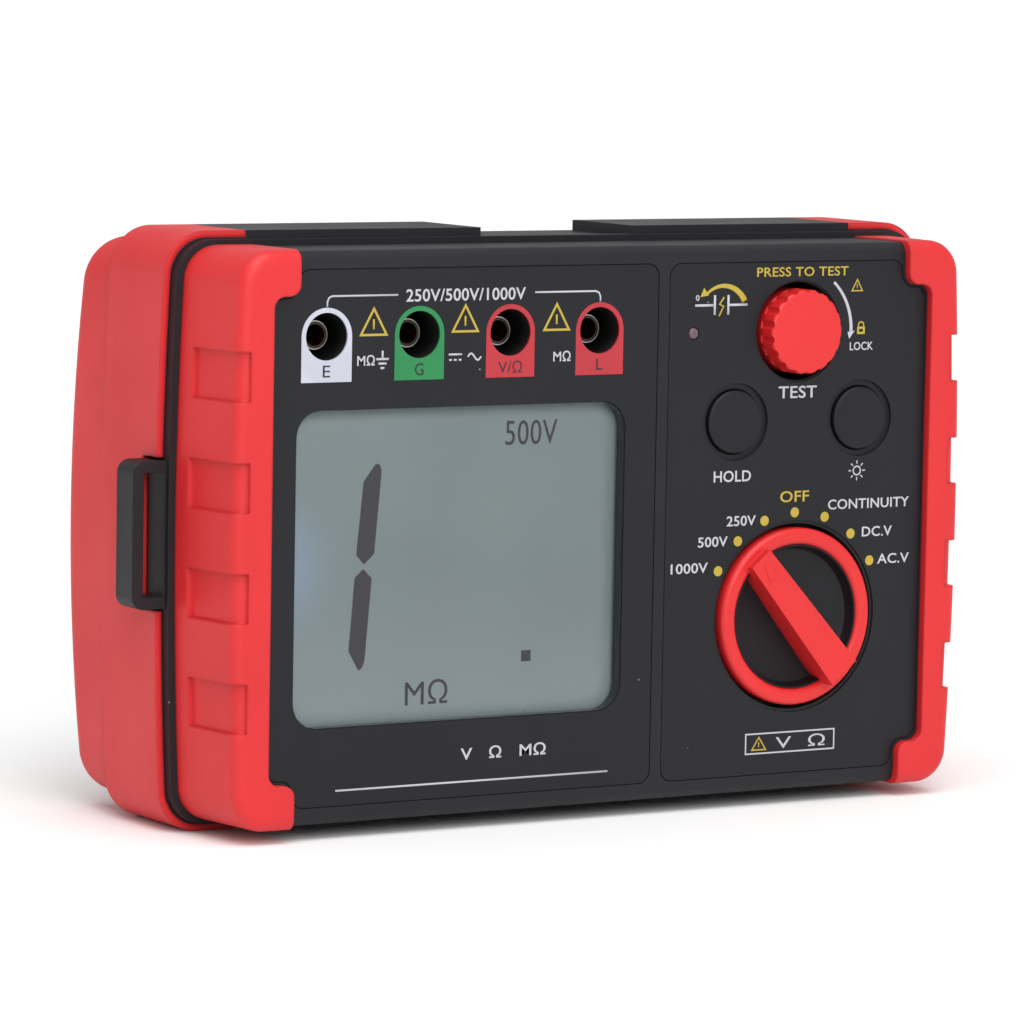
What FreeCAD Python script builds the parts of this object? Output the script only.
import FreeCAD, Part
import math
import os
import re

# Insulation resistance tester: a handheld case in two halves with red grip bumpers, an LCD,
# four shrouded 4 mm jacks, a press-and-turn TEST button, two small buttons, a seven-way rotary
# switch, eight AA cells and a push-on hard cover stowed on the back.
#
# Every piece is drawn about the middle of the front panel: +X to the right, +Y into the case,
# +Z up, with Y = 0 on the panel's face. Each finished piece is then placed so that the origin is
# under the middle of the whole tester, on the surface that it stands on.

SIZES = {
    # case outline, half sizes at mid height
    "shell_half_w_front": 78.4, "shell_flare": 2, "shell_half_h": 51.7, "shell_depth": 16.8,
    "side_radius": 900, "rear_side_radius": 420, "shell_corner": 6.5, "wall": 2.4,
    "middle_drop": 0.3, "edge_round": 2.2,
    # bumpers
    "bumper_wall": 2.4, "bumper_proud": 1.75, "bumper_wrap": 7.46, "bumper_lip": 5.28,
    "bumper_tip_drop": 8.2, "dent_depth": 0.75, "dent_height": 8.8, "dent_pitch": 19.6,
    "dent_wrap": 3, "dent_back_gap": 4,
    # overlays and the display
    "overlay_edge": 3.7, "overlay_thick": 0.35, "overlay_side_gap": 0.34,
    "overlay_split_left": 10.4,
    "overlay_split_right": 13, "overlay_corner": 2.4, "overlay_gap": 0.15, "window_x": -30.75,
    "window_z": -5.46, "window_w": 68.9, "window_tall": 57, "window_corner": 5, "window_lip": 2,
    "window_lip_thick": 1, "glass_thick": 2.2, "backlight_thick": 3.6, "frame_wall": 1.6,
    "glass_margin": 1.7, "connector_w": 3,
    # jacks
    "jack_pitch": 19.05, "jack_first_x": -59.34, "jack_z": 36.13, "jack_bore": 4.25,
    "jack_wall": 0.85, "badge_margin": 0.88, "badge_drop": 8.13, "badge_thick": 1.5,
    "jack_depth": 22, "jack_floor": 2, "contact_outer": 2.6, "contact_bore": 2,
    "contact_recess": 4.5, "contact_bore_depth": 16.5, "tail_radius": 1.1, "tail_length": 3,
    # rotary switch
    "knob_x": 42.1, "knob_z": -18.5, "knob_radius": 16.7, "knob_proud": 1, "ring_wall": 3.1,
    "knob_back": 4.6, "knob_plate": 1, "dish_y": 2, "dish_web": 0.7, "bar_half_w_point": 2.55,
    "bar_half_w_tail": 3.45, "bar_proud_point": 2.9, "bar_proud_tail": 4.1, "knob_angle": 40,
    "bar_short_point": 1.8, "bar_short_tail": 2.7, "notch_radius": 0.9, "well_gap": 0.8,
    "well_wall": 1.2, "knob_floor_gap": 0.4, "floor_thick": 1.6, "shaft_radius": 4,
    "shaft_fit": 0.06, "shaft_tip": 2, "rotor_radius": 14.5, "rotor_y": 12.2, "rotor_thick": 1.8,
    "wiper_gap": 0.2, "detent_room": 1.3, "detent_wall": 2.8, "detent_gap": 0.3, "detent_strip": 1,
    "board_hole_gap": 0.4, "clip_thick": 0.8, "clip_radius": 5.6, "clip_gap": 0.4, "shaft_end": 0.8,
    # TEST button
    "test_x": 41.71, "test_z": 35.1, "test_radius": 7.9, "test_proud": 3, "test_gap": 1.3,
    "test_soft": 0.7, "test_floor_y": 10.2, "test_floor_thick": 1.2, "test_skirt": 6,
    "test_skirt_wall": 1.45, "plunger_radius": 2.5, "plunger_gap": 0.3, "ear_half": 4,
    "ear_y": 11.9, "ear_thick": 1, "flute_radius": 1.1, "flute_depth": 0.4, "carrier_y": 0.3,
    "carrier_flange": 1, "carrier_wall": 1.04, "carrier_length": 6.3, "test_switch_half": 6.2,
    "spring_wire": 0.45, "test_spring_radius": 4.6, "led_x": 18.33, "led_radius": 1.05,
    # HOLD and light buttons
    "key_z": 18.46, "hold_x": 27.95, "light_x": 56.03, "key_radius": 5.9, "key_gap": 0.25,
    "key_proud": 0.15, "key_soft": 0.5, "bezel_margin": 1.35, "flange_lip": 1,
    "key_flange_gap": 0.3, "key_flange_thick": 0.9, "key_collar_gap": 0.4, "key_collar_wall": 1,
    "key_travel": 0.9, "key_floor_y": 9, "key_floor_thick": 1, "key_stem": 1.6,
    "key_spring_radius": 3.6, "key_spring_wire": 0.3, "tact_half": 3, "tact_height": 3.8,
    "tact_nub": 0.3,
    # boards and what they carry
    "board_y": 17, "board_thick": 1.6, "board_boss_gap": 1.5, "step_below_jacks": 7.63,
    "board_edge": 5.7, "board_step_x": 12, "board_boss": 2.6, "board_boss_up": 3.5,
    "board_boss_in": 2.7, "board_screw": 1.2,
    # rear case, seal and screws
    "flange_out_w": 1.4, "flange_out_h": 0.9, "flange_thick": 2.1, "case_in_w": 1.4,
    "case_in_h": 3.1, "bay_over": 4.5, "case_wall": 2.2, "case_corner": 6, "seal_in_w": 2.5,
    "seal_in_h": 3.3, "seal_wide": 1, "seal_thick": 0.8, "boss_in_x": 11.4, "boss_in_z": 7.7,
    "front_boss": 3.2, "rear_boss": 4.4, "screw_radius": 1.45, "screw_head": 2.9,
    "screw_head_thick": 2.2, "screw_seat_back": 11.2, "screw_tip_y": 8, "screw_gap": 0.25,
    "access_radius": 3.3,
    # strap lugs
    "lug_root": 4.4, "lug_bar": 2.2, "lug_half_h": 13.3, "lug_front_gap": 0.8, "lug_thick": 6.2,
    "slot_gap": 0.4, "slot_wide": 4.1, "slot_half_h": 11.2, "lug_gap": 0.5, "lug_round": 2.4,
    # batteries
    "cell_radius": 7.25, "cell_length": 49.5, "nub_radius": 2.75, "nub_length": 1, "cell_gap": 0.5,
    "spring_room": 4.4, "plate_thick": 0.4, "divider": 1.6, "bay_end_gap": 1, "bay_back": 16.2,
    "bay_wall": 1.6, "door_lap_w": 7.5, "door_lap_h": 3, "door_thick": 2, "door_gap": 0.2,
    "door_screw_out": 4.5, "door_boss": 2.8, "door_screw": 1.2, "door_head": 2.6,
    "door_head_thick": 1.2, "terminal_radius": 0.5,
    # stowed cover
    "rim_gap": 0.1, "rim_out_w": 1.4, "rim_out_h": 1.5, "rim_corner": 8.2, "step_back": 23.2,
    "cover_over": 3.5, "rear_drop": 2.6, "rear_corner": 9, "back_round": 4, "skin": 1.25,
    "liner": 1.4, "cover_room_main": 2.4, "cover_room_rear": 0.6, "red_wide": 17.56,
    "notch_half_w": 16.5, "notch_depth": 2,
}
# sizes that follow the ones above, each with its own named margin or clearance
TIED = {
    # bumpers and overlays follow the shell
    "shell_half_w_back": "shell_half_w_front + shell_flare",
    "bumper_inner_x": "shell_half_w_front - bumper_wrap",
    "bumper_tip_x": "bumper_inner_x - bumper_lip",
    "bumper_tip_z": "shell_half_h - bumper_tip_drop",
    "dent_inner_x": "shell_half_w_front - dent_wrap",
    "dent_back_y": "shell_depth - dent_back_gap",
    "overlay_half_h": "shell_half_h - overlay_edge",
    "overlay_left_x": "bumper_inner_x - overlay_side_gap",
    "overlay_right_x": "bumper_inner_x - overlay_side_gap",
    # sockets, knob and buttons
    "jack_tube": "jack_bore + jack_wall",
    "badge_half_w": "jack_bore + badge_margin",
    "bar_reach_point": "knob_radius - bar_short_point",
    "bar_reach_tail": "knob_radius - bar_short_tail",
    "detent_inner": "rotor_radius + detent_room",
    "detent_outer": "detent_inner + detent_wall",
    "test_well": "test_radius + test_gap",
    "key_bezel": "key_radius + bezel_margin",
    "key_flange": "key_radius + flange_lip",
    # screw bosses and boards
    "boss_x": "shell_half_w_back - boss_in_x",
    "boss_z": "shell_half_h - boss_in_z",
    "board_half_w": "boss_x - front_boss - board_boss_gap",
    "board_top_z": "shell_half_h - board_edge",
    "board_low_z": "-board_top_z",
    "board_step_z": "jack_z - step_below_jacks",
    "board_boss_x": "board_half_w - board_boss_in",
    "board_boss_low_z": "board_low_z + board_boss_up",
    # rear case, seal and lugs follow the shell
    "flange_half_w": "shell_half_w_back + flange_out_w",
    "flange_half_h": "shell_half_h + flange_out_h",
    "case_half_w": "shell_half_w_back - case_in_w",
    "case_half_h": "shell_half_h - case_in_h",
    "seal_half_w": "shell_half_w_back - seal_in_w",
    "seal_half_h": "shell_half_h - seal_in_h",
    "screw_seat_y": "shell_depth + screw_seat_back",
    "lug_inner_x": "shell_half_w_back - lug_root",
    "slot_inner_x": "flange_half_w + slot_gap",
    "slot_outer_x": "slot_inner_x + slot_wide",
    "lug_outer_x": "slot_outer_x + lug_bar",
    "lug_front_y": "shell_depth + lug_front_gap",
    "lug_back_y": "lug_front_y + lug_thick",
    # the bay follows its cells, and the case and door follow the bay
    "cell_pitch": "2 * cell_radius + cell_gap",
    "bay_half_h": "2 * cell_pitch + bay_end_gap",
    "bay_half_w": "cell_length + nub_length + spring_room + divider / 2 + 2 * plate_thick",
    "bay_floor_y": "shell_depth + bay_back",
    "case_back": "bay_floor_y + 2 * cell_radius + bay_over",
    "door_half_w": "bay_half_w + door_lap_w",
    "door_half_h": "bay_half_h + door_lap_h",
    "door_screw_x": "bay_half_w + door_screw_out",
    # the stowed cover follows the rear case
    "rim_half_w": "flange_half_w + rim_out_w",
    "rim_half_h": "flange_half_h + rim_out_h",
    "step_y": "shell_depth + step_back",
    "cover_back": "case_back + cover_over",
    "cover_main_inner_h": "case_half_h + cover_room_main",
    "cover_rear_inner_h": "case_half_h + cover_room_rear",
    "red_from_x": "rim_half_w - red_wide",
}

JACKS = ("earth", "guard", "volt", "line")
SPLIT = "shell_depth"
BOARD_BACK = "board_y + board_thick"

doc = FreeCAD.newDocument("insulation_tester")
sheet = doc.addObject("Spreadsheet::Sheet", "Sizes")
for row, (alias, number) in enumerate({**SIZES, **TIED}.items(), start=1):
    sheet.set(f"A{row}", alias)
    sheet.set(f"B{row}", f"={number}")
    sheet.setAlias(f"B{row}", alias)
doc.recompute()

WORD = re.compile(r"[a-z][a-z_0-9]*")
NAMES = {*SIZES, *TIED}
nodes = []


def formula(text):
    """Put the sheet's name in front of every size that a formula names."""
    return WORD.sub(lambda m: "Sizes." + m.group() if m.group() in NAMES else m.group(), str(text))


def value(text):
    """The number that a formula gives with the sheet's present sizes."""
    return float(sheet.evalExpression(formula(text)))


def bind(obj, prop, text):
    obj.setExpression(prop, formula(text))


def put(obj, x=0, y=0, z=0):
    for axis, text in zip("xyz", (x, y, z)):
        bind(obj, "Placement.Base." + axis, text)
    return obj


# --- primitives, each bound to the sheet ---------------------------------------------------

def block(name, x, y, z):
    """A box from three (low, high) pairs of formulas."""
    obj = doc.addObject("Part::Box", name)
    for prop, (low, high) in zip(("Length", "Width", "Height"), (x, y, z)):
        bind(obj, prop, f"({high}) - ({low})")
    return put(obj, x[0], y[0], z[0])


def turned(obj, low, high, axis, x, y, z):
    """Lay a cylinder or cone, drawn along Z, along another axis."""
    bind(obj, "Height", f"({high}) - ({low})")
    turn = {"x": FreeCAD.Rotation(FreeCAD.Vector(0, 1, 0), 90),
            "y": FreeCAD.Rotation(FreeCAD.Vector(1, 0, 0), -90),
            "z": FreeCAD.Rotation()}[axis]
    obj.Placement = FreeCAD.Placement(FreeCAD.Vector(), turn)
    return put(obj, x, y, z)


def drum(name, radius, y, x=0, z=0):
    """A cylinder along Y from y[0] to y[1]."""
    obj = doc.addObject("Part::Cylinder", name)
    bind(obj, "Radius", radius)
    return turned(obj, y[0], y[1], "y", x, y[0], z)


def rod(name, radius, x, y=0, z=0):
    """A cylinder along X from x[0] to x[1]."""
    obj = doc.addObject("Part::Cylinder", name)
    bind(obj, "Radius", radius)
    return turned(obj, x[0], x[1], "x", x[0], y, z)


def tube(name, outer, inner, y, x=0, z=0):
    return cut(name, drum(name + "_outer", outer, y, x, z), drum(name + "_bore", inner, y, x, z))


def fuse(name, *shapes):
    obj = doc.addObject("Part::MultiFuse", name)
    obj.Shapes = list(shapes)
    return obj


def cut(name, base, *tools):
    obj = doc.addObject("Part::Cut", name)
    obj.Base = base
    obj.Tool = tools[0] if len(tools) == 1 else fuse(name + "_tools", *tools)
    return obj


def common(name, *shapes):
    obj = doc.addObject("Part::MultiCommon", name)
    obj.Shapes = list(shapes)
    return obj


def rounded(name, base, radius, chosen):
    """Round the edges of base that chosen(edge) picks."""
    doc.recompute()
    size = value(radius)
    picked = [i for i, edge in enumerate(base.Shape.Edges, start=1) if chosen(edge)]
    obj = doc.addObject("Part::Fillet", name)
    obj.Base = base
    obj.Edges = [(i, size, size) for i in picked]
    return obj


def along_y(edge):
    first, last = edge.Vertexes[0].Point, edge.Vertexes[-1].Point
    run = last - first
    return run.Length > 0.1 and abs(run.y) > 0.9 * run.Length


def at_y(text):
    """Edges that lie in the plane y = text."""
    level = value(text)

    def chosen(edge):
        return all(abs(v.Point.y - level) < 1e-4 for v in edge.Vertexes) and \
            abs(edge.CenterOfMass.y - level) < 1e-4
    return chosen


def bowed(name, half_w, half_h, y, corner, side="side_radius", half_w_back=None):
    """A block whose two ends bulge on a large radius and may flare towards the back."""
    ends = []
    for end, sign in (("right", 1), ("left", -1)):
        if half_w_back is None:
            obj = doc.addObject("Part::Cylinder", f"{name}_{end}")
            bind(obj, "Radius", side)
        else:
            obj = doc.addObject("Part::Cone", f"{name}_{end}")
            bind(obj, "Radius1", side)
            bind(obj, "Radius2", f"{side} + ({half_w_back}) - ({half_w})")
        ends.append(turned(obj, y[0], y[1], "y", f"{sign} * (({half_w}) - {side})", y[0], 0))
    reach = f"({half_w}) + 20"
    slab = block(name + "_slab", (f"-({reach})", reach), y, (f"-({half_h})", half_h))
    whole = common(name + "_whole", *ends, slab)
    return rounded(name, whole, corner, lambda e: along_y(e) and abs(e.Vertexes[0].Point.z) > 1)


def spring(name, radius, wire, y, x, z, turns):
    """A compression spring between two seats: level rings joined by a strip of wire on each side."""
    first, last = f"({y[0]}) + {wire}", f"({y[1]}) - {wire}"
    parts = []
    for i in range(turns):
        ring = doc.addObject("Part::Torus", f"{name}_ring_{i}")
        bind(ring, "Radius1", radius)
        bind(ring, "Radius2", wire)
        turn = FreeCAD.Rotation(FreeCAD.Vector(1, 0, 0), -90)
        ring.Placement = FreeCAD.Placement(FreeCAD.Vector(), turn)
        put(ring, x, f"({first}) + ({last} - ({first})) * {i} / {turns - 1}", z)
        parts.append(ring)
    for i in range(turns - 1):
        at = f"({x}) {'-+'[i % 2]} {radius}"
        run = (f"({first}) + ({last} - ({first})) * {i} / {turns - 1}",
               f"({first}) + ({last} - ({first})) * {i + 1} / {turns - 1}")
        parts.append(drum(f"{name}_link_{i}", f"{wire} * 0.7", run, at, z))
    return fuse(name, *parts)


def node(obj, label, x="0", z="0", turned_knob=False):
    """Name a finished piece and set it in the tester's own frame."""
    if obj.TypeId in ("Part::Box", "Part::Cylinder"):
        primitive, obj = obj, doc.addObject("Part::Compound", obj.Name + "_piece")
        obj.Links = [primitive]
    obj.Label = label
    if turned_knob:
        obj.Placement = FreeCAD.Placement(FreeCAD.Vector(), FreeCAD.Rotation(FreeCAD.Vector(0, 1, 0), 1))
        bind(obj, "Placement.Rotation.Angle", "-knob_angle")
    put(obj, x, "(bar_proud_tail - cover_back) / 2", f"rim_half_h + ({z})")
    nodes.append(obj)
    return obj


def mirror_node(source, label):
    """The same piece on the other side of the case."""
    obj = doc.addObject("Part::Mirroring", label + "_mirror")
    obj.Source = source
    obj.Normal = FreeCAD.Vector(1, 0, 0)
    obj.Label = label
    nodes.append(obj)
    return obj


def grid(xs, zs):
    return [(x, z) for x in xs for z in zs]


CORNERS = grid(("boss_x", "-boss_x"), ("boss_z", "-boss_z"))
BOARD_POINTS = (("-board_boss_x", "board_boss_low_z"), ("board_boss_x", "board_boss_low_z"),
                ("board_step_x", "board_step_z - 4.5"), ("board_boss_x", "board_top_z - 5"))
KEYS = (("hold", "hold_x"), ("light", "light_x"))


# --- front panel: overlays, display ----------------------------------------------------------

def overlay_blank(name, x, grow, front="overlay_gap / 3"):
    """One panel's outline, stepped round the bumper tips; grow widens it for the recess."""
    half_h = f"overlay_half_h + {grow}"
    plate = block(name + "_plate", x, (front, "overlay_gap / 3 + overlay_thick"),
                  (f"-({half_h})", half_h))
    steps = []
    for side, low, high in (("l", "-bumper_inner_x - 5", f"-bumper_tip_x + 0.5 - {grow}"),
                            ("r", f"bumper_tip_x - 0.5 + {grow}", "bumper_inner_x + 5")):
        for end, z in (("t", (f"bumper_tip_z - 0.6 + {grow}", "overlay_half_h + 5")),
                       ("b", ("-overlay_half_h - 5", f"-bumper_tip_z + 0.6 - {grow}"))):
            steps.append(block(f"{name}_step_{side}{end}", (low, high), (-1, 2), z))
    return rounded(name, cut(name + "_sharp", plate, *steps), "overlay_corner", along_y)


def window_cut(name, grow, y):
    half_w, half_h = f"window_w / 2 + {grow}", f"window_tall / 2 + {grow}"
    plate = block(name + "_sharp", (f"window_x - ({half_w})", f"window_x + ({half_w})"), y,
                  (f"window_z - ({half_h})", f"window_z + ({half_h})"))
    return rounded(name, plate, "window_corner", along_y)


def badge(name, x, grow, y):
    """A jack's arched badge outline."""
    half = f"badge_half_w + {grow}"
    arch = drum(name + "_arch", half, y, x, "jack_z")
    foot = block(name + "_foot", (f"{x} - ({half})", f"{x} + ({half})"), y,
                 (f"jack_z - badge_drop - {grow}", "jack_z"))
    return fuse(name, arch, foot)


def jack_x(i):
    return f"jack_first_x + {i} * jack_pitch"


def make_overlays():
    left = overlay_blank("left_blank", ("-overlay_left_x", "overlay_split_left"), 0)
    holes = [window_cut("left_window", "0.05", (-1, 2))]
    holes += [badge(f"left_badge_{i}", jack_x(i), "0.05", (-1, 2)) for i in range(4)]
    node(cut("left_overlay_cut", left, *holes), "left_overlay")
    right = overlay_blank("right_blank", ("overlay_split_right", "overlay_right_x"), 0)
    holes = [drum("right_knob", "knob_radius + well_gap + 0.6", (-1, 2), "knob_x", "knob_z"),
             drum("right_test", "test_well + 0.3", (-1, 2), "test_x", "test_z"),
             drum("right_led", "led_radius + 0.15", (-1, 2), "led_x", "test_z")]
    holes += [drum(f"right_{key}", "key_bezel", (-1, 2), x, "key_z") for key, x in KEYS]
    node(cut("right_overlay_cut", right, *holes), "right_overlay")


GLASS_Y = "wall + window_lip_thick"
LIGHT_Y = f"{GLASS_Y} + glass_thick"


def display_block(name, margin, y):
    half_w, half_h = f"window_w / 2 + {margin}", f"window_tall / 2 + {margin}"
    return block(name, (f"window_x - ({half_w})", f"window_x + ({half_w})"), y,
                 (f"window_z - ({half_h})", f"window_z + ({half_h})"))


def make_display():
    lens = window_cut("window_lens", "-0.1", ("overlay_gap", "wall"))
    lip = display_block("window_lip_plate", "window_lip", ("wall", GLASS_Y))
    node(fuse("window_body", lens, lip), "lcd_window")
    node(display_block("glass_body", "glass_margin", (GLASS_Y, LIGHT_Y)), "lcd_glass")
    outer = display_block("frame_outer", "glass_margin + frame_wall", (GLASS_Y, "board_y"))
    inner = display_block("frame_inner", "glass_margin", ("wall", "board_y + 1"))
    node(cut("frame_body", outer, inner), "lcd_frame")
    half_h = "window_tall / 2 + glass_margin"
    node(block("backlight_body", ("window_x - window_w / 2", "window_x + window_w / 2"),
               (LIGHT_Y, f"{LIGHT_Y} + backlight_thick"),
               (f"window_z - ({half_h}) + connector_w + 1", f"window_z + ({half_h}) - connector_w - 1")),
         "lcd_backlight")
    strips = []
    for end, low, high in (("low", f"window_z - ({half_h})", f"window_z - ({half_h}) + connector_w"),
                           ("top", f"window_z + ({half_h}) - connector_w", f"window_z + ({half_h})")):
        strips.append(block(f"strip_{end}", ("window_x - window_w * 0.42", "window_x + window_w * 0.42"),
                            (LIGHT_Y, "board_y"), (low, high)))
    node(fuse("strips", *strips), "lcd_connectors")


# --- case ----------------------------------------------------------------------------------

def make_shell():
    core_h = "shell_half_h - bumper_wall"
    core = bowed("core", "shell_half_w_front - bumper_wall", core_h, (0, SPLIT), "shell_corner - 2",
                 half_w_back="shell_half_w_back - bumper_wall")
    middle_h = "shell_half_h - middle_drop"
    middle = rounded("middle", block("middle_sharp", ("-bumper_tip_x", "bumper_tip_x"), (0, SPLIT),
                                     (f"-({middle_h})", middle_h)), "edge_round",
                     lambda e: at_y(0)(e) and abs(e.Vertexes[0].Point.z - e.Vertexes[1].Point.z) < 1)
    inner = bowed("hollow", "shell_half_w_front - bumper_wall - wall", f"{core_h} - wall",
                  ("wall", f"{SPLIT} + 1"), "shell_corner - 3",
                  half_w_back="shell_half_w_back - bumper_wall - wall")
    skin = cut("shell_skin", fuse("shell_solid", core, middle), inner)
    well_floor = "knob_back + knob_floor_gap"
    adds = [skin,
            drum("knob_well", "knob_radius + well_gap + well_wall", (0.5, f"{well_floor} + floor_thick"),
                 "knob_x", "knob_z"),
            drum("test_collar", "test_well + well_wall", (0.5, "test_floor_y + test_floor_thick"),
                 "test_x", "test_z")]
    key_inner = "key_flange + key_collar_gap"
    adds += [drum(f"{key}_collar", f"{key_inner} + key_collar_wall",
                  (0.5, "key_floor_y + key_floor_thick"), x, "key_z") for key, x in KEYS]
    adds += [drum(f"front_boss_{i}", "front_boss", (0.5, SPLIT), x, z)
             for i, (x, z) in enumerate(CORNERS)]
    adds += [drum(f"board_boss_{i}", "board_boss", (0.5, "board_y"), x, z)
             for i, (x, z) in enumerate(BOARD_POINTS)]
    cuts = [overlay_blank("left_recess", ("-overlay_left_x - overlay_gap",
                                          "overlay_split_left + overlay_gap"), "overlay_gap", "-1"),
            overlay_blank("right_recess", ("overlay_split_right - overlay_gap",
                                           "overlay_right_x + overlay_gap"), "overlay_gap", "-1"),
            window_cut("shell_window", 0, (-1, "wall + 0.5")),
            drum("knob_hollow", "knob_radius + well_gap", (-1, well_floor), "knob_x", "knob_z"),
            drum("shaft_hole", "shaft_radius + shaft_fit", (-1, 12), "knob_x", "knob_z"),
            drum("test_hollow", "test_well", (-1, "test_floor_y"), "test_x", "test_z"),
            drum("plunger_hole", "plunger_radius + plunger_gap", (-1, 15), "test_x", "test_z"),
            drum("led_hole", "led_radius", (-1, "wall + 1"), "led_x", "test_z")]
    for key, x in KEYS:
        cuts += [drum(f"{key}_bezel_cut", "key_bezel", (-1, "overlay_thick + 0.4"), x, "key_z"),
                 drum(f"{key}_hole", "key_radius + key_gap", (-1, "wall + 1"), x, "key_z"),
                 drum(f"{key}_hollow", key_inner, ("wall", "key_floor_y"), x, "key_z"),
                 drum(f"{key}_stem_hole", "key_stem + key_gap", (-1, 12), x, "key_z")]
    for i in range(4):
        cuts += [badge(f"badge_pocket_{i}", jack_x(i), "0.1", (-1, "badge_thick")),
                 drum(f"jack_hole_{i}", "jack_tube + 0.1", (-1, "wall + 1"), jack_x(i), "jack_z")]
    cuts += [drum(f"front_pilot_{i}", "screw_radius", ("screw_tip_y", f"{SPLIT} + 1"), x, z)
             for i, (x, z) in enumerate(CORNERS)]
    cuts += [drum(f"board_pilot_{i}", "board_screw", ("board_y - 7", "board_y + 1"), x, z)
             for i, (x, z) in enumerate(BOARD_POINTS)]
    node(cut("shell_body", fuse("shell_adds", *adds), *cuts), "front_shell")
    make_bumpers(core, middle)


def make_bumpers(core, middle):
    front = "-bumper_proud"
    whole = bowed("bumper_block", "shell_half_w_front", "shell_half_h", (front, SPLIT), "shell_corner",
                  half_w_back="shell_half_w_back")
    soft = rounded("bumper_soft", whole, "edge_round", at_y(front))
    side = block("region_side", ("bumper_inner_x", 100), (-5, 30), (-70, 70))
    tips = [block("region_top", ("bumper_tip_x", "bumper_inner_x + 1"), (-5, 30), ("bumper_tip_z", 70)),
            block("region_low", ("bumper_tip_x", "bumper_inner_x + 1"), (-5, 30), (-70, "-bumper_tip_z"))]
    region = rounded("region", fuse("region_sharp", side, *tips), "edge_round",
                     lambda e: along_y(e) and abs(e.CenterOfMass.z) < 60)
    dents = [block(f"dent_{i}", ("dent_inner_x", 100), (-10, "dent_back_y"),
                   (f"{i - 1.5} * dent_pitch - dent_height / 2", f"{i - 1.5} * dent_pitch + dent_height / 2"))
             for i in range(4)]
    bed = bowed("dent_bed", "shell_half_w_front - dent_depth", "shell_half_h + 2",
                (f"{front} + dent_depth", SPLIT), "shell_corner",
                half_w_back="shell_half_w_back - dent_depth")
    bed = rounded("dent_bed_soft", bed, "edge_round", at_y(f"{front} + dent_depth"))
    tool = cut("dent_tools", fuse("dent_blocks", *dents), bed)
    form = common("bumper_form", soft, region)
    right = node(cut("bumper_body", form, core, middle, tool), "right_bumper")
    mirror_node(right, "left_bumper")


def make_rear_case():
    flange = bowed("flange", "flange_half_w", "flange_half_h", (SPLIT, f"{SPLIT} + flange_thick"),
                   "rim_corner - 1")
    body = bowed("case_block", "case_half_w", "case_half_h", (SPLIT, "case_back"), "case_corner",
                 side="rear_side_radius")
    soft = rounded("case_soft", body, "edge_round", at_y("case_back"))
    inner = bowed("case_hollow", "case_half_w - case_wall", "case_half_h - case_wall",
                  (f"{SPLIT} - 1", "case_back - case_wall"), "case_corner - 2", side="rear_side_radius")
    skin = cut("case_skin", fuse("case_solid", flange, soft), inner)
    bay_x, bay_z = "bay_half_w + bay_wall", "bay_half_h + bay_wall"
    seat_y = "case_back - door_thick"
    adds = [skin,
            block("bay_box", (f"-({bay_x})", bay_x), ("bay_floor_y - bay_wall", "case_back - 0.5"),
                  (f"-({bay_z})", bay_z)),
            block("door_seat", ("-door_half_w - 2", "door_half_w + 2"),
                  (f"{seat_y} - case_wall", "case_back - 0.5"), ("-door_half_h - 2", "door_half_h + 2"))]
    adds += [drum(f"rear_boss_{i}", "rear_boss", (SPLIT, "case_back - 1"), x, z)
             for i, (x, z) in enumerate(CORNERS)]
    adds += [drum(f"door_boss_{i}", "door_boss", (f"{seat_y} - 8", seat_y), x, 0)
             for i, x in enumerate(("door_screw_x", "-door_screw_x"))]
    cuts = [block("door_rebate", ("-door_half_w", "door_half_w"), (seat_y, "case_back + 1"),
                  ("-door_half_h", "door_half_h")),
            seal_ring("seal_groove"),
            lug_blank("lug_pocket_right", 1), lug_blank("lug_pocket_left", -1)]
    for side, (low, high) in (("r", ("divider / 2", "bay_half_w")), ("l", ("-bay_half_w", "-divider / 2"))):
        cuts.append(block(f"bay_{side}", (low, high), ("bay_floor_y", "case_back + 1"),
                          ("-bay_half_h", "bay_half_h")))
    for i, (x, z) in enumerate(CORNERS):
        cuts += [drum(f"screw_way_{i}", "screw_radius + screw_gap", (f"{SPLIT} - 1", "case_back"), x, z),
                 drum(f"screw_access_{i}", "access_radius", ("screw_seat_y", "case_back + 1"), x, z)]
    cuts += [drum(f"door_pilot_{i}", "door_screw", (f"{seat_y} - 6", "case_back"), x, 0)
             for i, x in enumerate(("door_screw_x", "-door_screw_x"))]
    cuts += [drum(f"terminal_hole_{i}", "terminal_radius", (f"{SPLIT}", "bay_floor_y + 1"), x, TERMINAL_Z)
             for i, x in enumerate((TERMINAL_X, f"-({TERMINAL_X})"))]
    node(cut("case_body", fuse("case_adds", *adds), *cuts), "rear_case")
    node(seal_ring("seal_body"), "case_seal")
    screws = []
    for i, (x, z) in enumerate(CORNERS):
        screws += [drum(f"screw_shank_{i}", "screw_radius", ("screw_tip_y", "screw_seat_y"), x, z),
                   drum(f"screw_head_{i}", "screw_head", ("screw_seat_y", "screw_seat_y + screw_head_thick"),
                        x, z)]
    node(fuse("screws", *screws), "case_screws")


def seal_ring(name):
    y = (SPLIT, f"{SPLIT} + seal_thick")
    outer = bowed(name + "_outer", "seal_half_w", "seal_half_h", y, "case_corner")
    inner = bowed(name + "_inner", "seal_half_w - seal_wide", "seal_half_h - seal_wide", y,
                  "case_corner - seal_wide")
    return cut(name, outer, inner)


def lug_blank(name, side):
    low, high = ("lug_inner_x", "lug_outer_x") if side > 0 else ("-lug_outer_x", "-lug_inner_x")
    return block(name, (low, high), ("lug_front_y", "lug_back_y"), ("-lug_half_h", "lug_half_h"))


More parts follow.
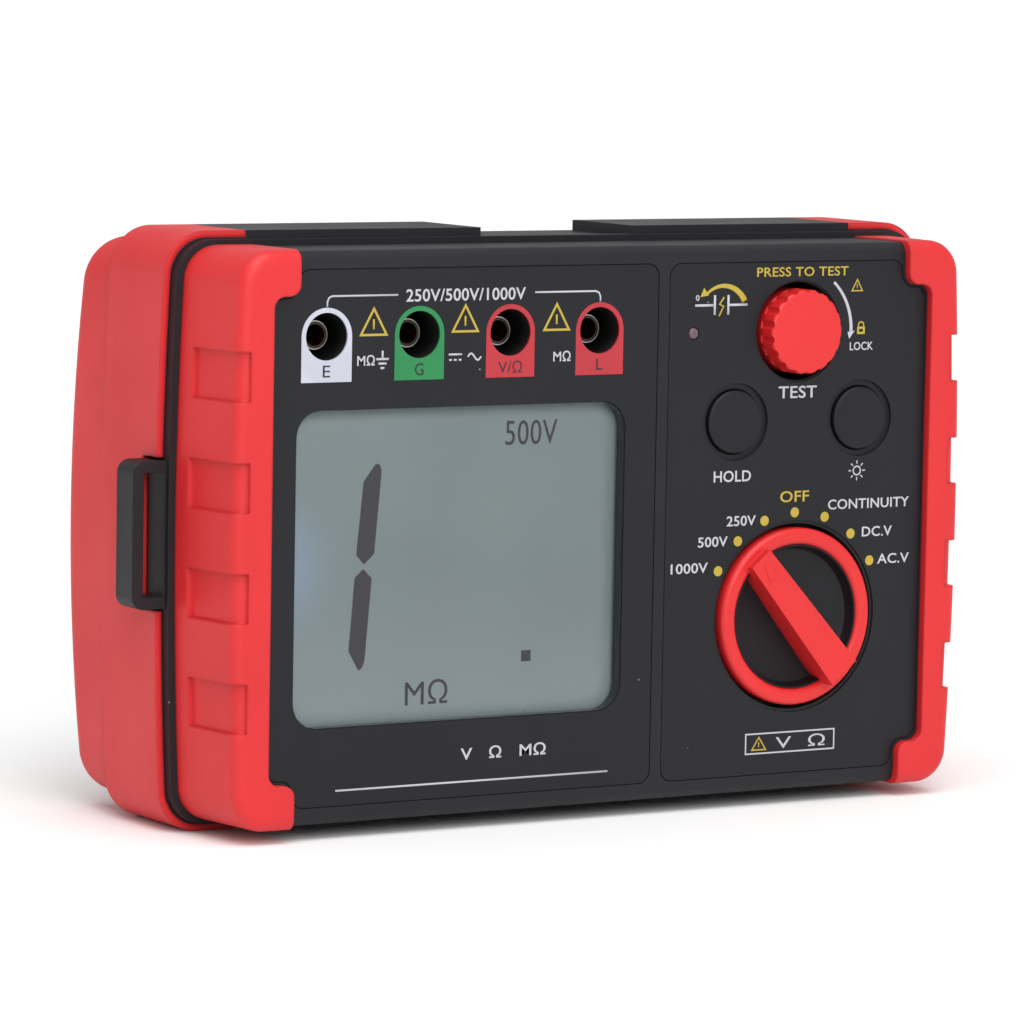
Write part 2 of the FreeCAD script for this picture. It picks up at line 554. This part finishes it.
def make_lugs():
    outer = rounded("lug_round_body", lug_blank("lug_sharp", 1), "lug_round",
                    lambda e: along_y(e) and e.CenterOfMass.x > value("lug_outer_x") - 0.1)
    slot = block("lug_slot", ("slot_inner_x", "slot_outer_x"), ("lug_front_y - 1", "lug_back_y + 1"),
                 ("-slot_half_h", "slot_half_h"))
    right = node(cut("lug_body", outer, slot), "right_strap_lug")
    mirror_node(right, "left_strap_lug")


# --- jacks ----------------------------------------------------------------------------------

def make_jacks():
    floor_y = "jack_depth + jack_floor"
    for i, name in enumerate(JACKS):
        x = jack_x(i)
        body = fuse(f"{name}_solid", badge(f"{name}_badge", x, 0, ("overlay_gap / 3", "badge_thick")),
                    drum(f"{name}_tube", "jack_tube", ("overlay_gap / 3", floor_y), x, "jack_z"))
        node(cut(f"{name}_sleeve", body,
                 drum(f"{name}_bore", "jack_bore", (-1, "jack_depth"), x, "jack_z"),
                 drum(f"{name}_seat", "contact_outer", (1, f"{floor_y} + 1"), x, "jack_z")),
             f"jack_{name}")
        pin = fuse(f"{name}_pin", drum(f"{name}_barrel", "contact_outer", ("contact_recess", floor_y), x,
                                       "jack_z"),
                   drum(f"{name}_tail", "tail_radius", (floor_y, f"{floor_y} + tail_length"), x, "jack_z"))
        hollow = drum(f"{name}_hollow", "contact_bore",
                      ("contact_recess - 1", "contact_recess + contact_bore_depth"), x, "jack_z")
        node(cut(f"{name}_contact_cut", pin, hollow), f"contact_{name}")
    plate = block("jack_plate", ("jack_first_x - jack_tube + 0.1", f"{jack_x(3)} + jack_tube"),
                  (floor_y, f"{floor_y} + board_thick"), ("jack_z - jack_tube", "jack_z + jack_tube"))
    holes = [drum(f"jack_plate_hole_{i}", "tail_radius", (20, 30), jack_x(i), "jack_z") for i in range(4)]
    node(cut("jack_plate_cut", plate, *holes), "jack_board")


# --- rotary switch ---------------------------------------------------------------------------

def knob_node(obj, label):
    """A piece of the switch's turning body: drawn pointing up, set at its rest position."""
    return node(obj, label, "knob_x", "knob_z", turned_knob=True)


def make_rotary():
    plate_y = "knob_back - knob_plate"
    ring = tube("ring", "knob_radius", "knob_radius - ring_wall", ("-knob_proud", plate_y))
    ring = rounded("ring_soft", ring, "knob_proud", at_y("-knob_proud"))
    plate = drum("knob_disc", "knob_radius", (plate_y, "knob_back"))
    bar = doc.addObject("Part::Wedge", "bar_wedge")
    for prop, text in (("Xmin", "-bar_half_w_point"), ("Xmax", "bar_half_w_point"),
                       ("X2min", "-bar_half_w_tail"), ("X2max", "bar_half_w_tail"),
                       ("Zmin", "-bar_proud_point"), ("Zmax", f"{plate_y} - dish_web"),
                       ("Z2min", "-bar_proud_tail"), ("Z2max", f"{plate_y} - dish_web"),
                       ("Ymin", "-bar_reach_point"), ("Ymax", "bar_reach_tail")):
        bind(bar, prop, text)
    bar.Placement = FreeCAD.Placement(FreeCAD.Vector(), FreeCAD.Rotation(FreeCAD.Vector(1, 0, 0), -90))
    envelope = drum("bar_envelope", "knob_radius", ("-bar_proud_tail - 1", "knob_back"))
    bar_form = common("bar_form", bar, envelope)
    holes = [drum("knob_bore", "shaft_radius", (plate_y, "knob_back + 1")),
             drum("bar_bore", "shaft_tip", ("overlay_thick", "knob_back"))]
    knob_node(cut("knob_body", fuse("knob_solid", ring, plate, bar_form), *holes), "rotary_knob")
    dish = drum("dish_disc", "knob_radius - ring_wall", ("dish_y", plate_y))
    knob_node(cut("dish_body", dish, bar, drum("dish_bore", "shaft_tip", (0, "knob_back"))), "knob_dish")
    clip_y = f"{BOARD_BACK} + clip_gap"
    knob_node(fuse("shaft_body", drum("shaft_tip_body", "shaft_tip", ("overlay_thick", plate_y)),
                   drum("shaft_stem", "shaft_radius", (plate_y, f"{clip_y} + clip_thick + shaft_end"))),
              "rotary_shaft")
    rotor_back = "rotor_y + rotor_thick"
    knob_node(tube("rotor_body", "rotor_radius", "shaft_radius", ("rotor_y", rotor_back)), "rotor_plate")
    wipers = [block(f"wiper_{i}", (-1, 1), (rotor_back, "board_y - wiper_gap"),
                    (f"rotor_radius - {3 + 3 * i}", f"rotor_radius - {1 + 3 * i}")) for i in range(3)]
    knob_node(fuse("wiper_set", *wipers), "rotor_wipers")
    reach = "detent_inner - detent_gap"
    strip_y = ("rotor_y - detent_strip", "rotor_y")
    strip = common("detent_strip_form", block("strip_bar", (f"-({reach})", reach), strip_y, (-1.5, 1.5)),
                   drum("strip_envelope", reach, strip_y))
    hub = drum("strip_hub", "shaft_radius + 2", strip_y)
    knob_node(cut("detent_strip_body", fuse("strip_solid", strip, hub),
                  drum("strip_hole", "shaft_radius", (0, 20))), "detent_spring")
    knob_node(tube("clip_body", "clip_radius", "shaft_radius", (clip_y, f"{clip_y} + clip_thick")),
              "shaft_clip")
    ring_y = ("rotor_y - detent_strip - detent_gap", "board_y")
    notches = []
    for i in range(18):
        turn = math.radians(20 * i + 10)
        notches.append(drum(f"notch_{i}", "notch_radius", ("0", "board_y + 1"),
                            f"detent_inner * {math.sin(turn):.6f}", f"detent_inner * {math.cos(turn):.6f}"))
    collar = tube("detent_collar", "detent_outer", "detent_inner", ring_y)
    node(cut("detent_ring_body", collar, *notches), "detent_ring", "knob_x", "knob_z")


# --- buttons ---------------------------------------------------------------------------------

def make_test_button():
    front = "-test_proud"
    head = rounded("test_head", drum("test_outer", "test_radius", (front, "test_skirt")), "test_soft",
                   at_y(front))
    flutes = []
    for i in range(18):
        turn = math.radians(20 * i)
        out = "(test_radius + flute_radius - flute_depth)"
        flutes.append(drum(f"flute_{i}", "flute_radius", (f"{front} - 1", "1"),
                           f"{out} * {math.sin(turn):.6f}", f"{out} * {math.cos(turn):.6f}"))
    hollow = drum("test_inside", "test_radius - test_skirt_wall", ("0", "test_skirt + 1"))
    node(cut("test_cap_body", head, hollow, *flutes), "test_button", "test_x", "test_z")
    plunger = drum("plunger_stem", "plunger_radius", ("0", "ear_y + ear_thick + 0.5"))
    ears = block("plunger_ears", ("-ear_half", "ear_half"), ("ear_y", "ear_y + ear_thick"), (-1, 1))
    node(fuse("plunger_body", plunger, ears), "test_plunger", "test_x", "test_z")
    bore = "plunger_radius + shaft_fit"
    sleeve = drum("carrier_sleeve", f"{bore} + carrier_wall", ("carrier_y", "carrier_y + carrier_length"))
    flange = drum("carrier_disc", "test_radius - test_skirt_wall - 0.3",
                  ("carrier_y", "carrier_y + carrier_flange"))
    node(cut("carrier_body", fuse("carrier_solid", sleeve, flange), drum("carrier_bore", bore, (-1, 12))),
         "test_carrier", "test_x", "test_z")
    node(spring("test_coil", "test_spring_radius", "spring_wire",
                ("carrier_y + carrier_flange", "test_floor_y"), "0", "0", 5), "test_spring",
         "test_x", "test_z")
    half = "test_switch_half"
    housing = block("test_switch_block", (f"-{half}", half), ("ear_y + 0.3", "board_y"), (f"-{half}", half))
    well = drum("test_switch_well", "ear_half + 0.8", ("5", "board_y - 0.2"))
    node(cut("test_switch_body", housing, well), "test_switch", "test_x", "test_z")


def make_keys():
    back = "wall + key_flange_gap"
    tacts = []
    for key, x in KEYS:
        face = rounded(f"{key}_face", drum(f"{key}_disc", "key_radius", ("-key_proud", back)), "key_soft",
                       at_y("-key_proud"))
        flange = drum(f"{key}_flange", "key_flange", (back, f"{back} + key_flange_thick"))
        stem = drum(f"{key}_stem", "key_stem",
                    (back, "board_y - tact_height - tact_nub - key_travel - 0.2"))
        node(fuse(f"{key}_cap", face, flange, stem), f"{key}_button", x, "key_z")
        node(spring(f"{key}_coil", "key_spring_radius", "key_spring_wire",
                    (f"{back} + key_flange_thick", "key_floor_y"), "0", "0", 5), f"{key}_spring",
             x, "key_z")
        base = "board_y - tact_height"
        tacts += [block(f"{key}_tact", (f"{x} - tact_half", f"{x} + tact_half"), (base, "board_y"),
                        ("key_z - tact_half", "key_z + tact_half")),
                  drum(f"{key}_nub", "key_stem", (f"{base} - tact_nub", "board_y"), x, "key_z")]
    node(fuse("tacts", *tacts), "tact_switches")


# --- boards and parts on them ------------------------------------------------------------------

def make_boards():
    y = ("board_y", BOARD_BACK)
    low = block("board_low", ("-board_half_w", "board_half_w"), y, ("board_low_z", "board_step_z"))
    high = block("board_high", ("board_step_x - 4", "board_half_w"), y, ("board_low_z", "board_top_z"))
    holes = [drum("board_shaft_hole", "shaft_radius + board_hole_gap", (10, 30), "knob_x", "knob_z")]
    holes += [drum(f"board_hole_{i}", "board_screw", (10, 30), x, z) for i, (x, z) in enumerate(BOARD_POINTS)]
    node(cut("board_body", fuse("board_solid", low, high), *holes), "main_board")
    screws = []
    for i, (x, z) in enumerate(BOARD_POINTS):
        screws += [drum(f"board_shank_{i}", "board_screw", ("board_y - 7", BOARD_BACK), x, z),
                   drum(f"board_head_{i}", "board_screw * 2", (BOARD_BACK, f"{BOARD_BACK} + 1.4"), x, z)]
    node(fuse("board_screw_set", *screws), "board_screws")
    led = fuse("led_solid", rounded("led_dome", drum("led_lens", "led_radius", ("-0.2", "5")), "0.5",
                                    at_y("-0.2")),
               drum("led_leg_a", "0.25", ("5", "board_y"), "-0.6"),
               drum("led_leg_b", "0.25", ("5", "board_y"), "0.6"))
    node(led, "test_led", "led_x", "test_z")


def on_board(name, x, z, tall):
    """A rectangular part on the board's back."""
    return block(name, x, (BOARD_BACK, f"{BOARD_BACK} + {tall}"), z)


def make_electronics():
    core = on_board("core_block", (-55, -33), (-20, 0), 9)
    winding = on_board("winding_block", (-52, -36), (-18, -2), 11)
    node(fuse("transformer_body", core, winding), "transformer")
    cans = [drum(f"can_{i}", 4, (BOARD_BACK, f"{BOARD_BACK} + 11"), -24 + 10 * i, -14) for i in range(2)]
    node(fuse("cans", *cans), "hv_capacitors")
    node(on_board("relay_body", (10, 26), (4, 16), 11), "relay")
    node(drum("buzzer_body", 6, (BOARD_BACK, f"{BOARD_BACK} + 8"), 20, -36), "buzzer")
    node(on_board("chip_body", (-12, 2), (4, 18), 1.4), "control_chip")
    fuse_y = f"{BOARD_BACK} + 3.6"
    caps = [rod(f"fuse_cap_{i}", 2.6, low, fuse_y, 12) for i, low in enumerate(((-52, -47), (-37, -32)))]
    glass = rod("fuse_glass", 2.4, (-47, -37), fuse_y, 12)
    clips = [on_board(f"fuse_clip_{i}", (x, f"{x} + 3"), (10, 14), 1) for i, x in enumerate((-51, -36))]
    node(fuse("fuse_solid", *caps, glass, *clips), "fuse")


# --- batteries -------------------------------------------------------------------------------

CELL_Y = "bay_floor_y + cell_radius + 0.9"
TERMINAL_X = "bay_half_w - plate_thick - terminal_radius + 0.1"
TERMINAL_Z = "-bay_half_h + terminal_radius + 0.1"


def cell_runs(side, row_index):
    """Where one cell, its nub, its spring and its two plates lie along X."""
    inner, outer = "divider / 2", "bay_half_w"
    flip = row_index % 2
    length = "cell_length + nub_length"
    if flip:
        start = f"{outer} - plate_thick - spring_room - ({length})"
        runs = {"cell": (f"{start} + nub_length", f"{start} + ({length})"),
                "nub": (start, f"{start} + nub_length"),
                "spring": (f"{start} + ({length})", f"{outer} - plate_thick")}
    else:
        start = f"{inner} + plate_thick + spring_room"
        runs = {"cell": (start, f"{start} + cell_length"),
                "nub": (f"{start} + cell_length", f"{start} + ({length})"),
                "spring": (f"{inner} + plate_thick", start)}
    runs["inner_plate"] = (inner, f"{inner} + plate_thick")
    runs["outer_plate"] = (f"{outer} - plate_thick", outer)
    if side > 0:
        return runs
    return {key: (f"-({high})", f"-({low})") for key, (low, high) in runs.items()}


def make_batteries():
    plates, coils = [], []
    for side, label in ((-1, "left"), (1, "right")):
        cells = []
        for i in range(4):
            z = f"{i - 1.5} * cell_pitch"
            runs = cell_runs(side, i)
            tag = f"{label}_{i}"
            cells += [rod(f"cell_{tag}", "cell_radius", runs["cell"], CELL_Y, z),
                      rod(f"nub_{tag}", "nub_radius", runs["nub"], CELL_Y, z)]
            low = "-bay_half_h" if i == 0 else f"{z} - 5"
            plates.append(block(f"outer_{tag}", runs["outer_plate"], ("bay_floor_y", f"{CELL_Y} + 5"),
                                (low, f"{z} + 5")))
            plates.append(block(f"inner_{tag}", runs["inner_plate"], ("bay_floor_y", f"{CELL_Y} + 5"),
                                (f"{z} - 5", f"{z} + 5")))
            coils.append(rod_spring(f"coil_{tag}", runs["spring"], CELL_Y, z))
        node(fuse(f"cells_{label}_set", *cells), f"cells_{label}")
    for i, x in enumerate((TERMINAL_X, f"-({TERMINAL_X})")):
        plates.append(drum(f"terminal_{i}", "terminal_radius", (BOARD_BACK, f"{CELL_Y} + 2"), x, TERMINAL_Z))
    node(fuse("plates", *plates), "battery_contacts")
    node(fuse("coils", *coils), "battery_springs")


def rod_spring(name, x, y, z):
    """A battery spring: a short stack of rings joined by a core strip, along X."""
    rings = []
    turns = 4
    for i in range(turns):
        at = f"({x[0]}) + (({x[1]}) - ({x[0]})) * {(i + 0.5) / turns}"
        half = f"(({x[1]}) - ({x[0]})) / {2 * turns}"
        outer = rod(f"{name}_o{i}", 3.6 - 0.4 * (i % 2), (f"{at} - {half}", f"{at} + {half}"), y, z)
        bore = rod(f"{name}_b{i}", 2.8 - 0.4 * (i % 2), (f"{at} - {half}", f"{at} + {half}"), y, z)
        rings.append(cut(f"{name}_r{i}", outer, bore))
    return fuse(name, *rings)


def make_battery_door():
    y = ("case_back - door_thick", "case_back")
    half_w, half_h = "door_half_w - door_gap", "door_half_h - door_gap"
    plate = rounded("door_plate", block("door_sharp", (f"-({half_w})", half_w), y, (f"-({half_h})", half_h)),
                    "2", along_y)
    xs = ("door_screw_x", "-door_screw_x")
    holes, screws = [], []
    for i, x in enumerate(xs):
        seat = "case_back - door_head_thick"
        holes += [drum(f"door_hole_{i}", "door_screw", (40, 60), x),
                  drum(f"door_sink_{i}", "door_head + 0.1", (seat, 60), x)]
        screws += [drum(f"door_shank_{i}", "door_screw", ("case_back - door_thick - 5", seat), x),
                   drum(f"door_head_{i}", "door_head", (seat, "case_back"), x)]
    node(cut("door_body", plate, *holes), "battery_door")
    node(fuse("door_screw_set", *screws), "door_screws")


# --- stowed cover -----------------------------------------------------------------------------

def make_cover():
    rim_y, step_in = f"{SPLIT} + flange_thick + rim_gap", "step_y - 2.2"
    rear_w, rear_h = "rim_half_w - 0.05", "rim_half_h - rear_drop"

    def layer(name, inset, back_inset):
        main = bowed(f"{name}_main", f"rim_half_w - {inset}", f"rim_half_h - {inset}", (rim_y, "step_y"),
                     f"rim_corner - {inset}")
        back = f"cover_back - {back_inset}"
        rear = bowed(f"{name}_rear", f"{rear_w} - {inset}", f"{rear_h} - {inset}", ("step_y - 3", back),
                     f"rear_corner - {inset}", side="rear_side_radius")
        rear = rounded(f"{name}_rear_soft", rear, f"back_round - {back_inset}", at_y(back))
        return fuse(f"{name}_layer", main, rear)

    outer = layer("outer", 0, 0)
    liner = layer("liner", "skin", "skin")
    walls = "(skin + liner)"
    hollow = fuse("cover_hollow",
                  bowed("hollow_main", f"rim_half_w - {walls}", "cover_main_inner_h",
                        (f"{rim_y} - 1", step_in), "rim_corner - 3"),
                  bowed("hollow_rear", f"{rear_w} - {walls}", "cover_rear_inner_h",
                        (f"{rim_y} - 1", "cover_back - 2.4"), "rear_corner - 3",
                        side="rear_side_radius"))
    centre = block("cover_centre_zone", ("-red_from_x", "red_from_x"), (0, 80), (-80, 80))
    lug_ways = [block(f"lug_way_{i}", (low, high), (0, "lug_back_y + lug_gap"),
                      ("-lug_half_h - lug_gap", "lug_half_h + lug_gap"))
                for i, (low, high) in enumerate(((70, 100), (-100, -70)))]
    notch = block("cover_notch", ("-notch_half_w", "notch_half_w"), (0, "step_y + 0.1"),
                  ("rim_half_h - notch_depth", 80))
    shell = fuse("cover_solid", common("cover_centre", outer, centre), liner)
    node(cut("cover_body", shell, hollow, notch, *lug_ways), "cover_shell")
    right_zone = block("cover_right_zone", ("red_from_x", 120), (0, 80), (-80, 80))
    skin_part = cut("red_body", common("red_zone", outer, right_zone), liner, hollow, lug_ways[0])
    right = node(skin_part, "cover_right_end")
    mirror_node(right, "cover_left_end")


def build():
    for step in (make_overlays, make_display, make_shell, make_rear_case, make_lugs, make_jacks,
                 make_rotary, make_test_button, make_keys, make_boards, make_electronics,
                 make_batteries, make_battery_door, make_cover):
        step()
        doc.recompute()


def check():
    failed = [obj.Name for obj in doc.Objects if {"Invalid", "Error"} & set(obj.State)]
    if failed:
        raise RuntimeError(f"not computed: {failed}")
    labels = [obj.Label for obj in nodes]
    if len(labels) != len(set(labels)):
        raise RuntimeError("two pieces share a label")
    for obj in nodes:
        shape = obj.Shape
        if shape.isNull() or not shape.isValid() or shape.Volume <= 0:
            raise RuntimeError(f"{obj.Label} has no valid solid")


def export():
    os.makedirs("parts", exist_ok=True)
    for obj in nodes:
        obj.Shape.exportStep(os.path.join("parts", obj.Label + ".step"))
        box = obj.Shape.BoundBox
        print(f"{obj.Label:18s} solids {len(obj.Shape.Solids):2d}  volume {obj.Shape.Volume:9.1f}"
              f"  x {box.XMin:7.2f} {box.XMax:7.2f}  y {box.YMin:7.2f} {box.YMax:7.2f}"
              f"  z {box.ZMin:7.2f} {box.ZMax:7.2f}")


build()
check()
export()
print(len(nodes), "pieces")
